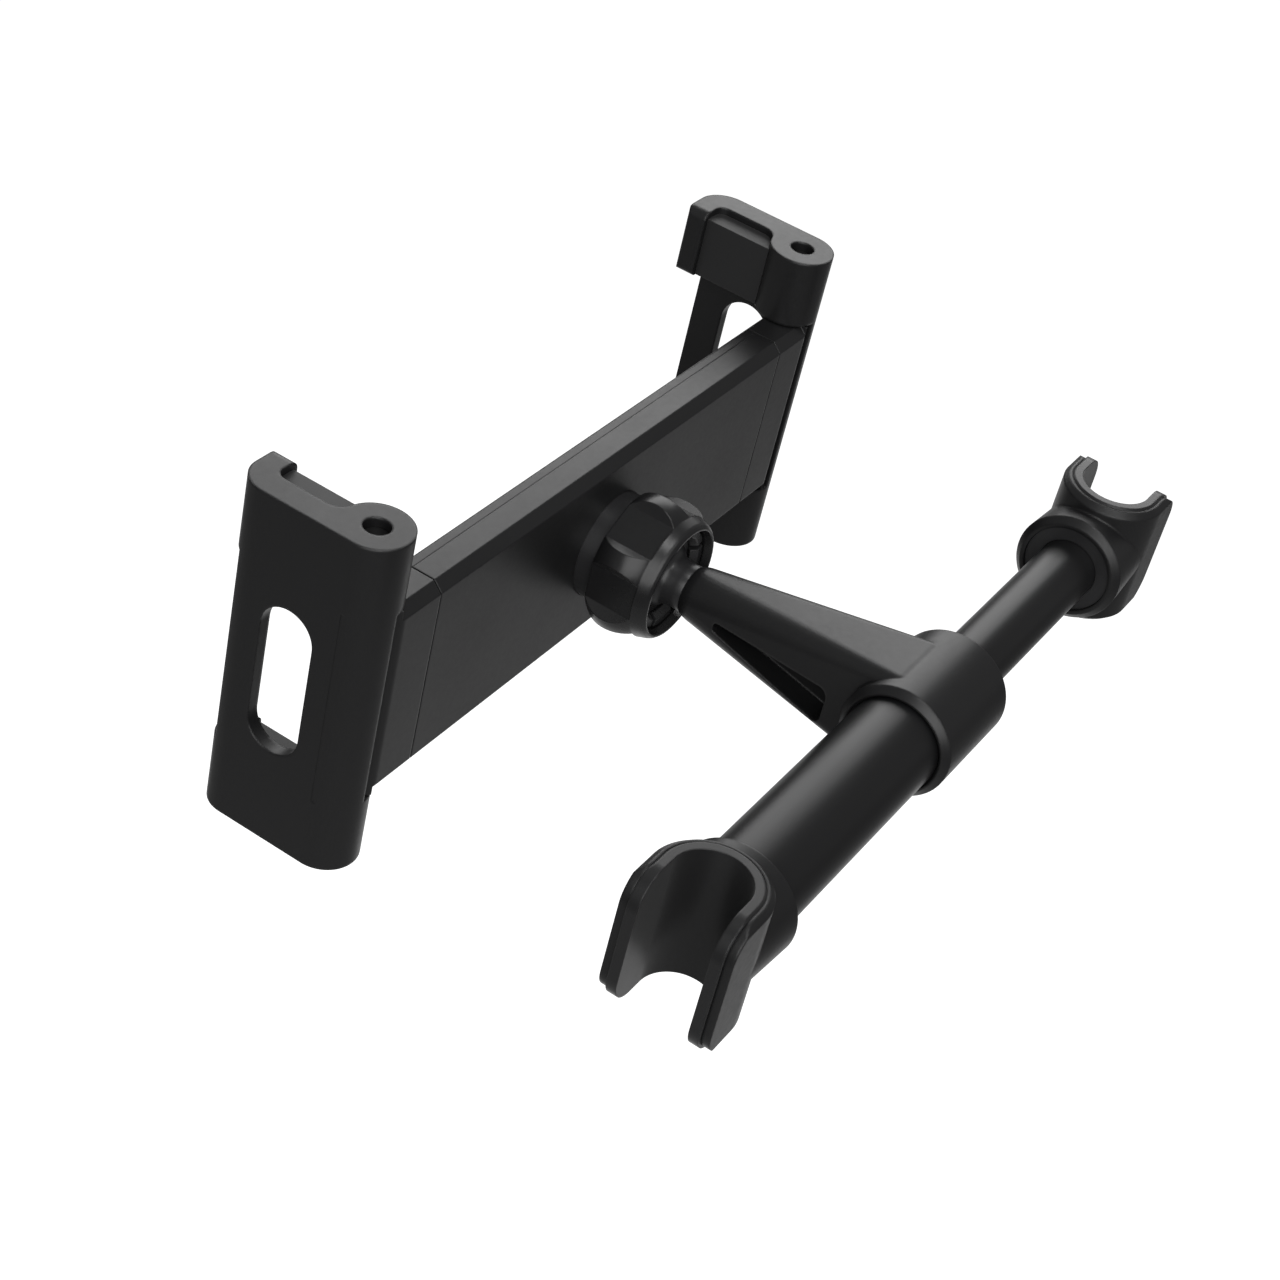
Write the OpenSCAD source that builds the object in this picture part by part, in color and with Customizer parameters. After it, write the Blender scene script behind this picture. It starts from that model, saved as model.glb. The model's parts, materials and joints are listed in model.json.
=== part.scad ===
// Tablet mount that hangs between the two posts of a car headrest.
// The origin is on the bar's axis, in the middle plane of the arm: +X runs along the bar to the
// fixed hook, +Y points from the tablet towards the seat, and +Z is up along the posts.

/* [Bar] */
// Outer diameter of the fixed tube
tube_d = 18.4; // [17:0.2:20]
// Wall of the fixed tube
tube_wall = 1.6; // [1.2:0.1:1.8]
// Outer diameter of the sliding tube
rod_d = 12.6; // [11:0.2:13.4]
// Wall of the sliding tube
rod_wall = 1.4; // [1:0.1:2]
// Distance between the two posts with the bar at its longest
post_span = 162; // [156:1:176]
// How far the sliding tube pushes in
bar_travel = 40; // [20:1:42]
// Wire of the spring in the bar
bar_wire_d = 1.1; // [0.8:0.1:1.2]
// Turns of the spring in the bar
bar_turns = 11; // [8:1:12]

/* [Post hooks] */
// Radius of the largest post that fits the soft liner
post_r = 7; // [5:0.25:8]
// Wall of the soft liner
liner_wall = 2; // [1.4:0.1:2.6]
// Wall of the hook's channel
hook_wall = 1.7; // [1.4:0.1:2.6]
// Height of the channel along the post
hook_h = 27.4; // [24:0.2:36]
// Distance from the post's axis to the free edges of the channel
hook_reach = 8.6; // [7:0.2:11]
// Radius of the free edges' upper and lower corners, seen from the side
hook_corner_r = 6; // [3:0.5:7]
// How far the liner stands out past the channel's edges
liner_proud = 0.7; // [0.3:0.1:1.5]
// Radius of the collar round the tube
collar_r = 11.4; // [11:0.1:12.6]
// Distance from the post's axis to the collar's face
collar_reach = 15.5; // [14.5:0.5:18]
// Bevel along the upper and lower edges of the channel
hook_edge = 1.1; // [0.4:0.1:1.3]

/* [Arm] */
// Distance from the bar's axis to the back face of the tablet holder
holder_gap = 70.2; // [66:0.2:90]
// Outer radius of the sleeve round the fixed tube
sleeve_r = 11.35; // [11.2:0.05:13]
// Length of the sleeve on the side of the fixed tube
sleeve_fixed_l = 11.6; // [10:0.2:16]
// Length of the sleeve on the side of the sliding tube
sleeve_slide_l = 14.2; // [12:0.2:18]
// Radius of the arm's round end at the ball
arm_end_r = 5.7; // [5:0.1:6.2]
// Half the width of the arm where it runs into the sleeve
arm_root_w = 8.6; // [7:0.2:10]
// Half the height of the arm where it runs into the sleeve
arm_root_h = 10.9; // [9:0.1:11]
// Radius of the arm's long edges
arm_edge_r = 2.2; // [1:0.2:3]
// Thickness of the web between the two pockets
arm_web = 2.4; // [1.6:0.2:4]
// Rim below the pockets
pocket_rim = 1.8; // [1.4:0.1:3]

/* [Ball joint] */
// Radius of the ball
ball_r = 8.5; // [8:0.1:9]
// Radius of the neck behind the ball
neck_r = 4.2; // [3:0.1:4.4]
// Distance from the holder's back face to the ball's centre
ball_out = 8.5; // [8:0.1:9.5]
// Thickness of the cup and the ring round the ball
cup_wall = 1; // [0.8:0.1:1.2]
// Outer radius of the slotted socket
socket_r = 11.2; // [11:0.1:12]
// Slots between the fingers of the socket
socket_slots = 8; // [4:1:10]

/* [Clamp knob] */
// Outer radius of the knob
knob_r = 15.1; // [14.4:0.1:16]
// Distance from the holder's back face to the knob
knob_start = 3.9; // [3.4:0.1:4.4]
// Distance from the holder's back face to the knob's mouth
knob_end = 17; // [16.8:0.1:18]
// Radius of the knob's mouth
knob_mouth_r = 11.25; // [11.1:0.05:12]
// Finger recesses round the knob
knob_recesses = 6; // [4:1:7]
// Distance from the knob's axis to the flat floor of a finger recess
recess_floor = 12.4; // [12.2:0.1:13.4]

/* [Holder body] */
// Half the length of the body between the sliding ends
body_half_l = 59; // [56:0.5:70]
// Half the height of the body
body_half_h = 20.8; // [20.8:0.1:24]
// Thickness of the body
body_t = 9.1; // [9:0.1:11]
// Bevel along the back edges
body_bevel = 2; // [1:0.1:2.2]
// Wall of the body's top and bottom
body_wall = 1.6; // [1.2:0.1:1.8]
// Back wall of the body
back_wall = 2; // [1.8:0.1:2.2]
// Thickness of the front cover
cover_t = 2.4; // [2.2:0.1:2.6]
// Thickness of the soft sheet on the front cover
sheet_t = 1.1; // [0.8:0.1:1.2]

/* [Sliding ends] */
// How far each end pulls out
slide_travel = 40; // [20:1:41]
// Thickness of the sliding tongue
slide_t = 2.3; // [1.8:0.1:2.3]
// Height of the rack's bar above its teeth
rack_bar_h = 4.5; // [3.5:0.1:4.6]
// Tooth module of the pinion and the racks
gear_module = 1; // [1:1:1]
// Teeth of the pinion
pinion_teeth = 16; // [14:2:16]
// Wire of the two slide springs
slide_wire_d = 0.7; // [0.5:0.1:0.8]
// Outer diameter of the two slide springs
slide_spring_d = 4; // [3:0.1:4]
// Turns of the two slide springs
slide_turns = 14; // [10:1:16]

/* [Jaws] */
// Half the height of the jaws
jaw_half_h = 36; // [34:0.5:44]
// Distance from the middle of the body to the jaw's hinge pin
pin_x = 72.3; // [72:0.1:84]
// Distance from the holder's back face to the hinge pin
pin_depth = 6.8; // [6.8:0.1:7.2]
// Radius of the jaw's barrel
barrel_r = 6.7; // [6.5:0.1:6.8]
// Radius of the hinge pin
pin_r = 2.45; // [2:0.05:2.6]
// How deep the pin's ends lie below the jaw's ends
pin_sunk = 2; // [1:0.5:4]
// Thickness of the jaw's upper and lower parts
jaw_wall = 5.6; // [4.6:0.1:6]
// Thickness of the jaw's middle web
web_wall = 2.8; // [2:0.1:2.9]
// Distance from the hinge pin to the jaw's front face
jaw_depth = 25.2; // [22:0.2:32]
// Thickness of the jaw's front lip
lip_t = 4.5; // [3:0.1:5]
// How far the front lip reaches inwards past the hinge pin
lip_reach = 5.1; // [4:0.1:7]
// Outer corner radius of the jaw
jaw_corner_r = 6; // [4:0.5:6.4]
// Width of the slot through the jaw
slot_w = 11.3; // [8:0.1:12]
// Height of the slot through the jaw
slot_h = 31.6; // [20:0.2:36]
// Distance from the hinge pin to the middle of the slot
slot_depth = 10.2; // [9:0.1:12]
// How far the soft pads reach inwards past the hinge pin
pad_reach = 3.9; // [2.5:0.1:4.4]

/* [Hidden] */
$fn = 96;

// Clearances, and how far a cutter runs past the face that it cuts
seat_gap = 0.05;
running_gap = 0.05;
side_gap = 0.3;
tip_gap = 0.1;
eps = 0.01;
over = 1;

// Bar
tube_r = tube_d / 2;
tube_bore_r = tube_r - tube_wall;
rod_r = rod_d / 2;
rod_bore_r = rod_r - rod_wall;
post_x = post_span / 2;
liner_r = post_r + liner_wall;
channel_r = liner_r + hook_wall;
tube_socket_depth = collar_reach - channel_r - 1;
collar_face_x = post_x - collar_reach;
tube_end_x = collar_face_x + tube_socket_depth;
collar_foot_r = channel_r - 0.1;
liner_edge = 0.4;
tube_stop_t = 2.6;
tube_start_x = -sleeve_slide_l + tube_stop_t + side_gap;
tube_relief = 0.5;
tube_relief_l = 0.7;
end_coils = 2.6;
spigot_l = 9;
spigot_x = collar_face_x - spigot_l;
bush_sunk = 0.6;
plug_l = 5;
plug_nose = 3;
plug_x = spigot_x - bar_travel - bar_wire_d * (bar_turns + end_coils) - plug_l;
bush_x = -sleeve_slide_l + bush_sunk;
bush_l = plug_x - side_gap - bush_x;
bar_spring_r = (tube_bore_r - 1) - bar_wire_d / 2;

// Arm
ball_y = -holder_gap + ball_out;
arm_end_y = ball_y + ball_r + arm_end_r;
arm_root_y = -3;
shank_r = 2.6;
shank_l = 10;
neck_sunk = 2;
sleeve_chamfer = 1.3;
pocket_top_z = 0.5;
pocket_end_y = -sleeve_r - 4.4;
pocket_tip_y = arm_end_y + 5.6;
pocket_tip_r = 0.9;
pocket_root_r = 2;
pocket_tip_h = 0.6;
pocket_w = 20;

// Ball joint
cup_r = ball_r + running_gap + cup_wall;
bowl_r = cup_r + running_gap;
cup_angle = 45;
ring_from = 60;
ring_to = 80;
lip_off = 4.5;
lip_bore_r = sqrt(pow(bowl_r, 2) - pow(lip_off, 2)) - 1.2;
mouth_off = 6.8;
mouth_r = 8.8;
flange_r = 14.1;
flange_t = 2;
slot_gap = 1.5;
slot_from = knob_start + 0.5;
socket_screw_r = 0.95;
socket_screw_circle = 12.9;
socket_screw_head_r = 1.45;
socket_screw_head_t = 1.1;
socket_screw_pad_r = socket_screw_head_r + 0.7;
socket_screw_end = -back_wall + 1.3;
socket_drive_r = 0.6;
drive_floor = 0.5;
socket_screw_angles = [-15, 15, 165, 195];
finger_start = 11.8;
finger_taper = 0.9;
finger_lip_r = socket_r - 0.4;

// Knob
barrel_end = knob_end - 2.8;
barrel_end_r = recess_floor + 0.6;
knob_lip_r = knob_mouth_r + 0.9;
thread_end = finger_start + 0.6;
knob_lip_t = 1.6;
knob_lip_edge = 0.5;
recess_half_w = 3.9;
recess_slope = 35;
recess_out = 4;

// Holder body
cover_y = -(body_t - cover_t);
cavity_half_h = body_half_h - body_wall;
slide_y0 = cover_y + 0.2;
slide_slack = 0.5;
slide_y1 = slide_y0 + slide_t;
sheet_half_l = 48;
sheet_half_h = 15;
sheet_sunk = 0.4;
sheet_corner = 4;
cover_screw_x = [-37, -24, 24, 37];
cover_screw_r = 1.2;
cover_screw_head_r = 2.4;
cover_screw_head_t = 1.2;
cover_screw_end = -back_wall - 0.6;
cover_drive_r = 0.9;
boss_r = 3.1;
cover_edge = 0.8;

// Sliding ends
pitch_r = gear_module * pinion_teeth / 2;
rack_tip_z = pitch_r - 0.9 * gear_module;
rack_root_z = pitch_r + 1.2 * gear_module;
rack_top_z = rack_root_z + rack_bar_h;
rack_pitch = PI * gear_module;
tooth_slack = 0.1;
pressure_angle = 20;
rack_tip_x = -slide_travel - 2.4;
rack_end = 1.3 * gear_module;
tab_t = 2.4;
tab_z = flange_r + side_gap;
tongue_x = -rack_tip_x + 1;
spring_z = cavity_half_h - slide_spring_d / 2 - 0.6;
spring_y = -back_wall - slide_spring_d / 2 - side_gap;
spring_seat_x = rack_tip_x + tab_t + slide_travel + slide_wire_d * (slide_turns + end_coils);
spring_seat_t = 2;
axle_r = 3;
axle_y = -body_t + sheet_sunk + 0.6;
knuckle_r = 3.5;
block_round_r = 2.6;
block_neck = 0.4;
knuckle_back = 2.2;
knuckle_front = 3;
far = 20;

// Jaws
window_half_h = body_half_h + side_gap;
wall_in_x = barrel_r - jaw_wall;
web_in_x = barrel_r - web_wall;
skin_in_r = knuckle_r + 0.4;
skin_edge_x = side_gap - block_neck;
jaw_fillet_r = 3.5;
fillet_x = wall_in_x - jaw_fillet_r;
fillet_y = -sqrt(pow(barrel_r + jaw_fillet_r, 2) - pow(fillet_x, 2));
touch_x = fillet_x * barrel_r / (barrel_r + jaw_fillet_r);
touch_y = fillet_y * barrel_r / (barrel_r + jaw_fillet_r);
lip_in_y = -jaw_depth + lip_t;
inner_corner_r = 2.1;
lip_round_r = 1.2;
web_front_y = -jaw_depth + 2.4;
lip_end_r = 2;
lip_foot_r = 1.2;
pad_sunk = 1.5;

// A bar along X, from x0 to x1
module x_bar(r, x0, x1) {
    translate([x0, 0, 0]) rotate([0, 90, 0]) cylinder(r = r, h = x1 - x0);
}

// A bar along Y, from y0 to y1
module y_bar(r, y0, y1) {
    translate([0, y0, 0]) rotate([-90, 0, 0]) cylinder(r = r, h = y1 - y0);
}

// A block between two corners
module block(a, b) {
    translate(a) cube(b - a);
}

// Turns a profile of [radius, position along Y] points about the Y axis
module turned_y(points) {
    rotate([-90, 0, 0]) rotate_extrude() polygon(points);
}

// Turns a profile about the X axis: its children are drawn with the radius first
module turned_x() {
    rotate([0, 90, 0]) rotate_extrude() children();
}

// Everything of the tablet holder, with its back face at y = 0
module at_holder() {
    translate([0, -holder_gap, 0]) children();
}

// Everything of the ball joint, with the ball's centre at the origin
module at_ball() {
    translate([0, ball_y, 0]) children();
}

// A slab of the body's section, cut off flat between two depths
module body_slab(x0, x1, y0, y1, inset) {
    back = -inset;
    half_h = body_half_h - inset;
    bevel_h = half_h - body_bevel;
    intersection() {
        translate([x0, 0, 0])
            rotate([90, 0, 90])
                linear_extrude(x1 - x0)
                    polygon([[back, -bevel_h], [back, bevel_h], [back - body_bevel, half_h],
                             [-body_t + cover_edge, half_h], [-body_t, half_h - cover_edge],
                             [-body_t, -half_h + cover_edge], [-body_t + cover_edge, -half_h],
                             [back - body_bevel, -half_h]]);
        block([x0 - over, y0, -half_h - over], [x1 + over, y1, half_h + over]);
    }
}

// A point on a coil along X
function coil_point(r, l, turns, t) =
    [l * t, r * cos(360 * turns * t), r * sin(360 * turns * t)];

// A coil along X, of round wire, swept through its own rings
module coil(r, wire_r, l, turns, steps = 14, sides = 6) {
    n = turns * steps;
    lift = atan2(l, 2 * PI * r * turns);
    points = [for (i = [0 : n]) let (a = 360 * turns * i / n, c = coil_point(r, l, turns, i / n))
        for (j = [0 : sides - 1]) let (b = 360 * j / sides, u = wire_r * cos(b), v = wire_r * sin(b))
            c + [v * cos(lift), u * cos(a) + v * sin(lift) * sin(a), u * sin(a) - v * sin(lift) * cos(a)]];
    walls = [for (i = [0 : n - 1]) for (j = [0 : sides - 1]) let (k = (j + 1) % sides)
        [i * sides + j, (i + 1) * sides + j, (i + 1) * sides + k, i * sides + k]];
    ends = [[for (j = [sides - 1 : -1 : 0]) n * sides + j], [for (j = [0 : sides - 1]) j]];
    polyhedron(points, concat(walls, ends), convexity = 10);
}

// The arm's outline in the side view, below the middle line, and the space of one pocket
module pocket_outline() {
    slope = (arm_root_h - arm_end_r) / (arm_root_y - arm_end_y);
    tip_z = -arm_end_r - slope * (pocket_tip_y - arm_end_y) + pocket_rim;
    end_z = -arm_end_r - slope * (pocket_end_y - arm_end_y) + pocket_rim;
    r = pocket_tip_r;
    root_r = pocket_root_r;
    hull() {
        translate([pocket_tip_y + r, max(tip_z + r, pocket_top_z - r - pocket_tip_h)]) circle(r, $fn = 24);
        translate([pocket_tip_y + r, pocket_top_z - r]) circle(r, $fn = 24);
        translate([pocket_end_y - root_r, pocket_top_z - root_r]) circle(root_r, $fn = 24);
        translate([pocket_end_y - root_r, end_z + root_r]) circle(root_r, $fn = 24);
    }
}

module arm_beam() {
    hull() {
        translate([0, arm_end_y, 0]) sphere(r = arm_end_r, $fn = 40);
        for (sx = [-1, 1], sz = [-1, 1])
            translate([sx * (arm_root_w - arm_edge_r), arm_root_y, sz * (arm_root_h - arm_edge_r)])
                rotate([90, 0, 0]) cylinder(r = arm_edge_r, h = 1, $fn = 24);
    }
}

// The arm is one moulding with the sleeve that holds the fixed tube
module arm() {
    chamfer = sleeve_chamfer;
    tip_y = arm_end_y - arm_end_r;
    color("#242426")
    difference() {
        union() {
            arm_beam();
            translate([-sleeve_slide_l, 0, 0]) turned_x()
                polygon([[0, 0], [sleeve_r - chamfer, 0], [sleeve_r, chamfer],
                         [sleeve_r, sleeve_slide_l + sleeve_fixed_l - chamfer],
                         [sleeve_r - chamfer, sleeve_slide_l + sleeve_fixed_l],
                         [0, sleeve_slide_l + sleeve_fixed_l]]);
        }
        x_bar(tube_r + seat_gap, -sleeve_slide_l + tube_stop_t, sleeve_fixed_l + over);
        x_bar(tube_r + tube_relief, sleeve_fixed_l - tube_relief_l, sleeve_fixed_l + over);
        x_bar(tube_bore_r + seat_gap, -sleeve_slide_l - over, sleeve_fixed_l);
        y_bar(neck_r + seat_gap, tip_y - over, tip_y + neck_sunk);
        y_bar(shank_r + seat_gap, tip_y, tip_y + shank_l + side_gap);
        for (side = [-1, 1])
            translate([side > 0 ? arm_web / 2 : -arm_web / 2 - pocket_w, 0, 0])
                rotate([90, 0, 90]) linear_extrude(pocket_w) pocket_outline();
    }
}

// The ball with its neck, and a shank that is moulded into the arm
module ball_stud() {
    neck_end = arm_end_y - ball_y - arm_end_r;
    color("#303033")
    at_ball() union() {
        sphere(r = ball_r);
        y_bar(neck_r, 0, neck_end + neck_sunk - seat_gap);
        y_bar(shank_r, 0, neck_end + shank_l);
    }
}

module outer_tube() {
    color("#1f1f21")
    difference() {
        x_bar(tube_r, tube_start_x, tube_end_x - side_gap);
        x_bar(tube_bore_r, tube_start_x - over, tube_end_x + over);
    }
}

// The bush in the mouth of the fixed tube, which guides the sliding tube
module guide_bush() {
    color("#2b2b2e")
    difference() {
        x_bar(tube_bore_r - seat_gap, bush_x, bush_x + bush_l);
        x_bar(rod_r + running_gap, bush_x - over, bush_x + bush_l + over);
    }
}

module bar_spring() {
    start = plug_x + plug_l + bar_wire_d / 2 + tip_gap;
    stop = spigot_x - bar_wire_d / 2 - tip_gap;
    color("#8a8d90") translate([start, 0, 0]) coil(bar_spring_r, bar_wire_d / 2, stop - start, bar_turns);
}

module inner_tube() {
    color("#1f1f21")
    difference() {
        x_bar(rod_r, -tube_end_x + side_gap, plug_x);
        x_bar(rod_bore_r, -tube_end_x - over, plug_x + over);
    }
}

// The plug in the inner end of the sliding tube: the spring pushes on its head
module inner_tube_plug() {
    color("#2b2b2e")
    union() {
        x_bar(tube_bore_r - running_gap, plug_x, plug_x + plug_l);
        x_bar(rod_bore_r - seat_gap, plug_x - plug_nose, plug_x + over);
    }
}

// The channel's plan: a half round that runs on in two straight walls
module channel_plan(r, reach) {
    circle(r);
    translate([0, -r]) square([reach, 2 * r]);
}

// The channel's side view, with its two free corners rounded
module channel_side(r, reach, half_h, corner_r) {
    translate([-r - over, -half_h]) square([r + over + reach - corner_r, 2 * half_h]);
    translate([0, -half_h + corner_r]) square([reach, 2 * (half_h - corner_r)]);
    for (sz = [-1, 1]) translate([reach - corner_r, sz * (half_h - corner_r)]) circle(corner_r);
}

// The channel, filled: its section across the post is turned round the back, then runs on straight
module channel_block(r, reach, half_h, corner_r, edge) {
    side = [[r - edge, -half_h], [r, -half_h + edge], [r, half_h - edge], [r - edge, half_h]];
    intersection() {
        union() {
            rotate_extrude() polygon(concat([[0, -half_h]], side, [[0, half_h]]));
            for (sy = [0, 1]) mirror([0, sy, 0])
                rotate([90, 0, 90]) linear_extrude(reach)
                    polygon(concat([[-eps, -half_h]], side, [[-eps, half_h]]));
        }
        translate([0, r + over, 0]) rotate([90, 0, 0])
            linear_extrude(2 * (r + over)) channel_side(r, reach, half_h, corner_r);
    }
}

// The collar round the tube: it tapers into the flanks of the channel
module collar() {
    chamfer = sleeve_chamfer;
    turned_x()
        polygon([[0, -collar_reach], [collar_r - chamfer, -collar_reach],
                 [collar_r, -collar_reach + chamfer], [collar_foot_r, 0], [0, 0]]);
}

// One post hook, with its post's axis on Z and its bar towards -X
module post_hook(bore_r, spigot_r) {
    difference() {
        union() {
            channel_block(channel_r, hook_reach, hook_h / 2, hook_corner_r, hook_edge);
            collar();
        }
        translate([0, 0, -hook_h]) linear_extrude(2 * hook_h)
            channel_plan(liner_r + seat_gap, hook_reach + over);
        x_bar(bore_r + seat_gap, -collar_reach - over, -collar_reach + tube_socket_depth);
    }
    x_bar(spigot_r - seat_gap, -collar_reach - spigot_l, -collar_reach + tube_socket_depth + eps);
}

module hook_liner() {
    difference() {
        channel_block(liner_r, hook_reach + liner_proud, hook_h / 2 + liner_proud / 2,
                      hook_corner_r + liner_proud / 2, liner_edge);
        translate([0, 0, -hook_h]) linear_extrude(2 * hook_h)
            channel_plan(post_r, hook_reach + liner_proud + over);
    }
}

module left_hook() {
    color("#232325") translate([post_x, 0, 0]) post_hook(tube_r, tube_bore_r);
}

module left_hook_liner() {
    color("#2d2d30") translate([post_x, 0, 0]) hook_liner();
}

module right_hook() {
    color("#232325") mirror([1, 0, 0]) translate([post_x, 0, 0]) post_hook(tube_r, rod_bore_r);
}

module right_hook_liner() {
    color("#2d2d30") mirror([1, 0, 0]) translate([post_x, 0, 0]) hook_liner();
}

// Fills the collar of the sliding hook round the thinner tube
module right_hook_bush() {
    color("#2b2b2e")
    difference() {
        x_bar(tube_r, -tube_end_x + side_gap, -collar_face_x - tube_relief);
        x_bar(rod_r + seat_gap, -tube_end_x - over, -collar_face_x + over);
    }
}

// The cup that the ball is pressed into
module friction_cup() {
    color("#3a3a3d")
    at_ball() intersection() {
        difference() {
            sphere(r = cup_r);
            sphere(r = ball_r + running_gap);
        }
        turned_y([[0, 0], [cup_r * 2 * tan(cup_angle), -cup_r * 2], [0, -cup_r * 2]]);
    }
}

// The ring that the socket's fingers press on the ball
module pressure_ring() {
    color("#3a3a3d")
    at_ball() intersection() {
        difference() {
            sphere(r = cup_r);
            sphere(r = ball_r + running_gap);
        }
        turned_y([[0, 0], [cup_r * 2 * tan(ring_from), cup_r * 2],
                  [cup_r * 12, cup_r * 12 / tan(ring_to)]]);
    }
}

// The slotted socket, with the flange that is screwed to the body from inside
module ball_socket() {
    color("#29292b")
    at_holder() difference() {
        union() {
            turned_y([[0, -back_wall - flange_t], [flange_r, -back_wall - flange_t],
                      [flange_r, -back_wall], [socket_r, -back_wall],
                      [socket_r, finger_start], [socket_r - finger_taper, ball_out + mouth_off],
                      [0, ball_out + mouth_off]]);
            for (a = socket_screw_angles) rotate([0, a, 0]) translate([socket_screw_circle, 0, 0])
                y_bar(socket_screw_pad_r, -back_wall - flange_t, -back_wall);
        }
        translate([0, ball_out, 0]) sphere(r = bowl_r);
        translate([0, ball_out, 0])
            turned_y([[0, 0], [lip_bore_r, 0], [lip_bore_r, lip_off],
                      [mouth_r, mouth_off + eps], [0, mouth_off + eps]]);
        for (i = [0 : socket_slots - 1]) rotate([0, (i + 0.5) * 360 / socket_slots, 0])
            block([ball_r / 2, slot_from, -slot_gap / 2],
                  [socket_r + over, knob_end, slot_gap / 2]);
        for (a = socket_screw_angles) rotate([0, a, 0]) translate([socket_screw_circle, 0, 0])
            y_bar(socket_screw_r + running_gap, -back_wall - flange_t - over, -back_wall + over);
    }
}

module socket_screws() {
    head_y = -back_wall - flange_t;
    color("#9a9da0")
    at_holder() for (a = socket_screw_angles)
        rotate([0, a, 0]) translate([socket_screw_circle, 0, 0])
            difference() {
                union() {
                    y_bar(socket_screw_head_r, head_y - socket_screw_head_t, head_y);
                    y_bar(socket_screw_r, head_y - eps, socket_screw_end);
                }
                y_bar(socket_drive_r, head_y - socket_screw_head_t - over, head_y - drive_floor);
            }
}

// The knob's bulging grip: an arc that reaches the same radius at both ends
module barrel_outline() {
    half_l = (barrel_end - knob_start) / 2;
    rise = knob_r - barrel_end_r;
    arc_r = (pow(half_l, 2) + pow(rise, 2)) / (2 * rise);
    intersection() {
        translate([0, knob_start]) square([knob_r + over, 2 * half_l]);
        union() {
            translate([knob_r - arc_r, knob_start + half_l]) circle(arc_r);
            translate([0, knob_start]) square([knob_r - arc_r, 2 * half_l]);
        }
    }
}

// The knob before it is bored, with a round lip at its mouth
module knob_body() {
    difference() {
        rotate([-90, 0, 0]) rotate_extrude() barrel_outline();
        for (i = [0 : knob_recesses - 1]) rotate([0, i * 360 / knob_recesses, 0]) finger_recess();
    }
    turned_y([[0, barrel_end - eps], [barrel_end_r, barrel_end - eps],
              [knob_lip_r + knob_lip_edge / 2, knob_end - 2 * knob_lip_edge],
              [knob_lip_r, knob_end - knob_lip_edge], [knob_lip_r - knob_lip_edge, knob_end],
              [0, knob_end]]);
}

// One finger recess: a flat floor with two sloping sides, which run out at both ends of the barrel
module finger_recess() {
    spread = recess_out / tan(recess_slope);
    translate([recess_floor, knob_start - over, 0]) rotate([-90, 0, 0])
        linear_extrude(barrel_end - knob_start + 2 * over)
            polygon([[0, -recess_half_w], [recess_out, -recess_half_w - spread],
                     [recess_out, recess_half_w + spread], [0, recess_half_w]]);
}

module clamp_knob() {
    color("#262628")
    at_holder() difference() {
        knob_body();
        turned_y([[0, knob_start - over], [socket_r + running_gap, knob_start - over],
                  [socket_r + running_gap, thread_end], [finger_lip_r, thread_end + knob_lip_t],
                  [finger_lip_r, knob_end - knob_lip_t], [knob_mouth_r, knob_end + eps],
                  [0, knob_end + eps]]);
    }
}

module rear_shell() {
    color("#202022")
    at_holder() difference() {
        union() {
            difference() {
                body_slab(-body_half_l, body_half_l, cover_y, 0, 0);
                body_slab(-body_half_l - over, body_half_l + over, -body_t, -back_wall, body_wall);
            }
            for (x = cover_screw_x) translate([x, 0, 0]) y_bar(boss_r, cover_y, -back_wall + eps);
            for (side = [-1, 1]) rotate([0, side > 0 ? 0 : 180, 0])
                block([spring_seat_x, cover_y, rack_top_z + side_gap],
                      [spring_seat_x + spring_seat_t, -back_wall + eps, cavity_half_h + eps]);
        }
        y_bar(socket_r + seat_gap, -back_wall - over, over);
        for (a = socket_screw_angles) rotate([0, a, 0]) translate([socket_screw_circle, 0, 0])
            y_bar(socket_screw_r + seat_gap, -back_wall - over, socket_screw_end + tip_gap);
        for (x = cover_screw_x) translate([x, 0, 0])
            y_bar(cover_screw_r + seat_gap, cover_y - over, -back_wall);
    }
}

// The sheet's outline, with round corners
module sheet_block(y0, y1, grow) {
    half_l = sheet_half_l + grow;
    half_h = sheet_half_h + grow;
    block([-half_l, y0, -half_h + sheet_corner], [half_l, y1, half_h - sheet_corner]);
    block([-half_l + sheet_corner, y0, -half_h], [half_l - sheet_corner, y1, half_h]);
    for (sx = [-1, 1], sz = [-1, 1])
        translate([sx * (half_l - sheet_corner), 0, sz * (half_h - sheet_corner)])
            y_bar(sheet_corner, y0, y1);
}

module front_cover() {
    head_y = -body_t + sheet_sunk;
    color("#202022")
    at_holder() difference() {
        body_slab(-body_half_l, body_half_l, -body_t, cover_y, 0);
        sheet_block(-body_t - over, head_y, seat_gap);
        for (x = cover_screw_x) translate([x, 0, 0]) {
            y_bar(cover_screw_head_r + tip_gap, -body_t - over, head_y + cover_screw_head_t);
            y_bar(cover_screw_r + tip_gap, -body_t - over, cover_y + over);
        }
        y_bar(axle_r + seat_gap, axle_y, cover_y + over);
    }
}

module front_sheet() {
    color("#343437")
    at_holder() sheet_block(-body_t + sheet_sunk - sheet_t, -body_t + sheet_sunk, 0);
}

module cover_screws() {
    head_y = -body_t + sheet_sunk;
    color("#9a9da0")
    at_holder() for (x = cover_screw_x) translate([x, 0, 0])
        difference() {
            union() {
                y_bar(cover_screw_head_r, head_y + tip_gap, head_y + cover_screw_head_t);
                y_bar(cover_screw_r, head_y + tip_gap, cover_screw_end);
            }
            y_bar(cover_drive_r, head_y - over, head_y + tip_gap + drive_floor);
        }
}

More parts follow.
